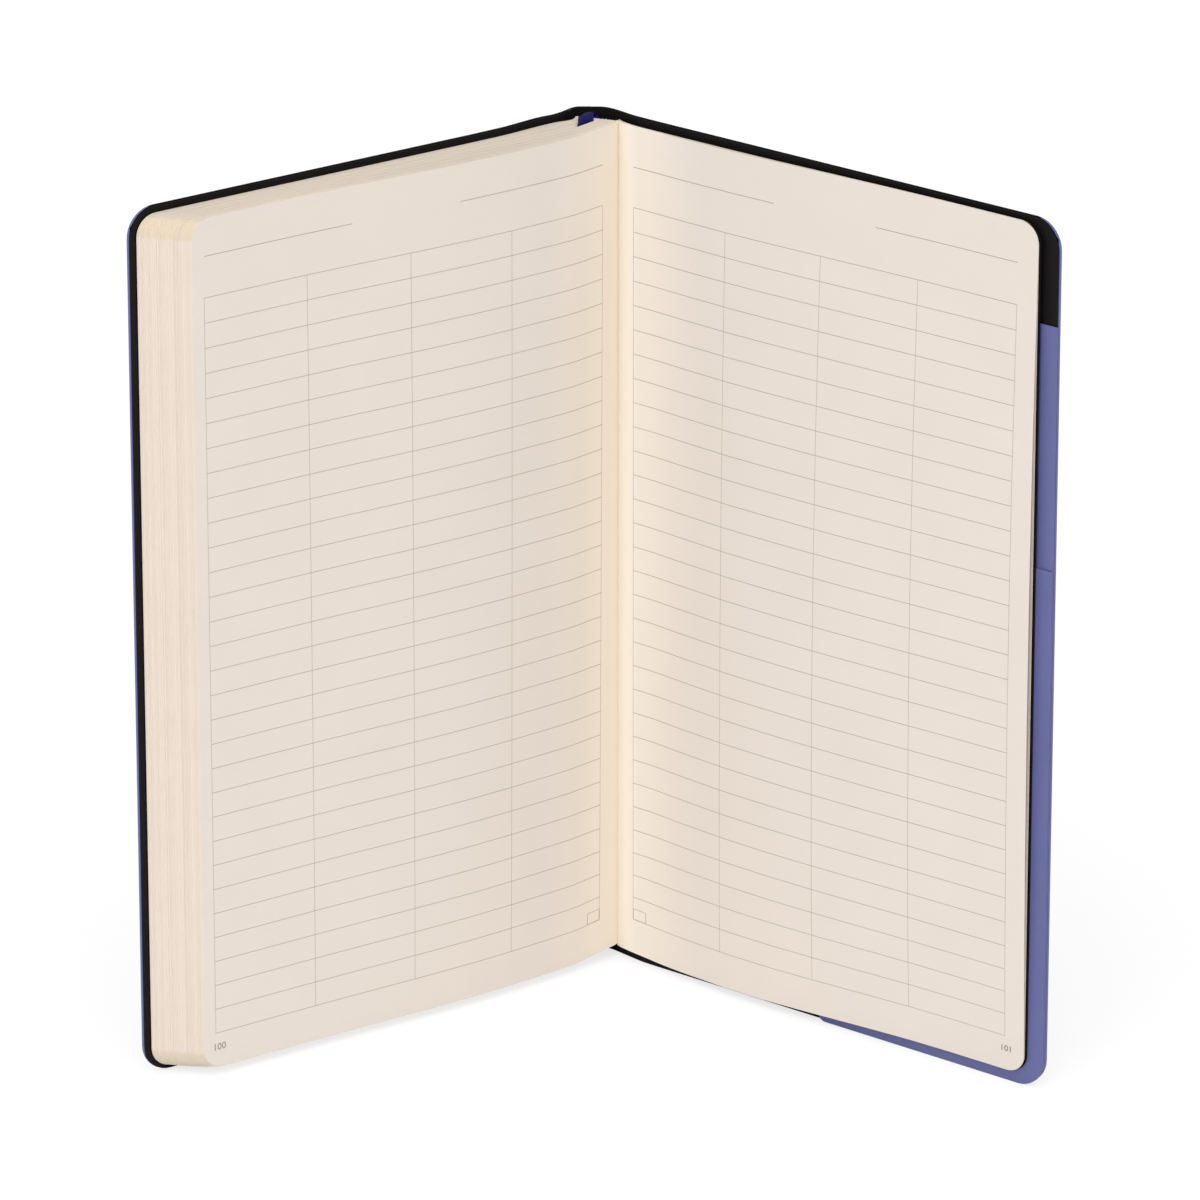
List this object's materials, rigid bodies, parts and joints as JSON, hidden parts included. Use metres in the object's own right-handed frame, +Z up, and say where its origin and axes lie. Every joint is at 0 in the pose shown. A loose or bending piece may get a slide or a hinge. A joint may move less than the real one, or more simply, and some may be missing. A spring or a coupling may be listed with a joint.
{
  "type": "notebook",
  "caption": "Soft-covered sewn notebook standing open near its end, with a ruled table on each page, a ribbon marker and a pocket inside the back cover.",
  "frame": {"origin": "middle of the spine skin's tail face, on the surface that the notebook stands on", "axes": "+X to the reader's right along the open width, +Y away from the reader out of the spine's back, +Z up the spine from tail to head"},
  "size_m": [0.2083, 0.0847, 0.21],
  "materials": {
    "skin": "satin",
    "lining": "matte",
    "card": "matte",
    "paper": "matte",
    "mull": "matte",
    "ribbon": "satin"
  },
  "bodies": {
    "spine": {"spine_skin": "skin", "spine_liner": "lining", "spine_mull": "mull", "section_01_fold": "paper", "section_02_fold": "paper", "section_03_fold": "paper", "section_04_fold": "paper", "section_05_fold": "paper", "section_06_fold": "paper", "section_07_fold": "paper", "section_08_fold": "paper", "section_09_fold": "paper", "section_10_fold": "paper", "section_11_fold": "paper", "section_12_fold": "paper", "ribbon_marker": "ribbon"},
    "section_01": {"section_01_leaves": "paper", "front_flyleaf": "lining"},
    "section_02": {"section_02_leaves": "paper"},
    "section_03": {"section_03_leaves": "paper"},
    "section_04": {"section_04_leaves": "paper"},
    "section_05": {"section_05_leaves": "paper"},
    "section_06": {"section_06_leaves": "paper"},
    "section_07": {"section_07_leaves": "paper"},
    "section_08": {"section_08_leaves": "paper"},
    "section_09": {"section_09_leaves": "paper"},
    "section_10": {"section_10_leaves": "paper"},
    "section_11": {"section_11_leaves": "paper"},
    "section_12": {"section_12_leaves": "paper"},
    "front_cover": {"front_cover_skin": "skin", "front_card": "card", "front_pastedown": "lining"},
    "back_cover": {"back_cover_skin": "skin", "back_card": "card", "back_pastedown": "lining", "back_flyleaf": "lining", "last_leaves": "paper", "top_leaf": "paper", "pocket_back_panel": "skin", "pocket_front_panel": "skin"}
  },
  "joints": [
    {"name": "section_01_bend", "type": "hinge", "parent": "spine", "child": "section_01", "pos_m": [-0.00415, -0.00551, 0], "axis": [0, 0, 1], "range_deg": [0, 54.57]},
    {"name": "section_02_bend", "type": "hinge", "parent": "spine", "child": "section_02", "pos_m": [-0.00332, -0.00594, 0], "axis": [0, 0, 1], "range_deg": [0, 54.57]},
    {"name": "section_03_bend", "type": "hinge", "parent": "spine", "child": "section_03", "pos_m": [-0.00249, -0.00636, 0], "axis": [0, 0, 1], "range_deg": [0, 54.57]},
    {"name": "section_04_bend", "type": "hinge", "parent": "spine", "child": "section_04", "pos_m": [-0.00166, -0.00679, 0], "axis": [0, 0, 1], "range_deg": [0, 54.57]},
    {"name": "section_05_bend", "type": "hinge", "parent": "spine", "child": "section_05", "pos_m": [-0.00083, -0.00722, 0], "axis": [0, 0, 1], "range_deg": [0, 54.57]},
    {"name": "section_06_bend", "type": "hinge", "parent": "spine", "child": "section_06", "pos_m": [0, -0.00765, 0], "axis": [0, 0, 1], "range_deg": [0, 54.57]},
    {"name": "section_07_bend", "type": "hinge", "parent": "spine", "child": "section_07", "pos_m": [0.00083, -0.00808, 0], "axis": [0, 0, 1], "range_deg": [0, 54.57]},
    {"name": "section_08_bend", "type": "hinge", "parent": "spine", "child": "section_08", "pos_m": [0.00166, -0.00851, 0], "axis": [0, 0, 1], "range_deg": [0, 54.57]},
    {"name": "section_09_bend", "type": "hinge", "parent": "spine", "child": "section_09", "pos_m": [0.00249, -0.00893, 0], "axis": [0, 0, 1], "range_deg": [0, 54.57]},
    {"name": "section_10_bend", "type": "hinge", "parent": "spine", "child": "section_10", "pos_m": [0.00332, -0.00936, 0], "axis": [0, 0, 1], "range_deg": [0, 54.57]},
    {"name": "section_11_bend", "type": "hinge", "parent": "spine", "child": "section_11", "pos_m": [0.00415, -0.00979, 0], "axis": [0, 0, 1], "range_deg": [0, 54.57]},
    {"name": "section_12_bend", "type": "hinge", "parent": "spine", "child": "section_12", "pos_m": [0.00498, -0.01022, 0], "axis": [0, 0, 1], "range_deg": [0, 54.57]},
    {"name": "front_cover_fold", "type": "hinge", "parent": "section_01", "child": "front_cover", "pos_m": [-0.00638, -0.00436, 0], "axis": [0, 0, 1], "range_deg": [-130, 0]},
    {"name": "back_cover_fold", "type": "hinge", "parent": "spine", "child": "back_cover", "pos_m": [0.00906, -0.00684, 0], "axis": [0, 0, 1], "range_deg": [-50, 68]}
  ],
  "couplings": [
    {"joint": "section_02_bend", "follows": "section_01_bend", "ratio": 1},
    {"joint": "section_03_bend", "follows": "section_01_bend", "ratio": 1},
    {"joint": "section_04_bend", "follows": "section_01_bend", "ratio": 1},
    {"joint": "section_05_bend", "follows": "section_01_bend", "ratio": 1},
    {"joint": "section_06_bend", "follows": "section_01_bend", "ratio": 1},
    {"joint": "section_07_bend", "follows": "section_01_bend", "ratio": 1},
    {"joint": "section_08_bend", "follows": "section_01_bend", "ratio": 1},
    {"joint": "section_09_bend", "follows": "section_01_bend", "ratio": 1},
    {"joint": "section_10_bend", "follows": "section_01_bend", "ratio": 1},
    {"joint": "section_11_bend", "follows": "section_01_bend", "ratio": 1},
    {"joint": "section_12_bend", "follows": "section_01_bend", "ratio": 1}
  ]
}
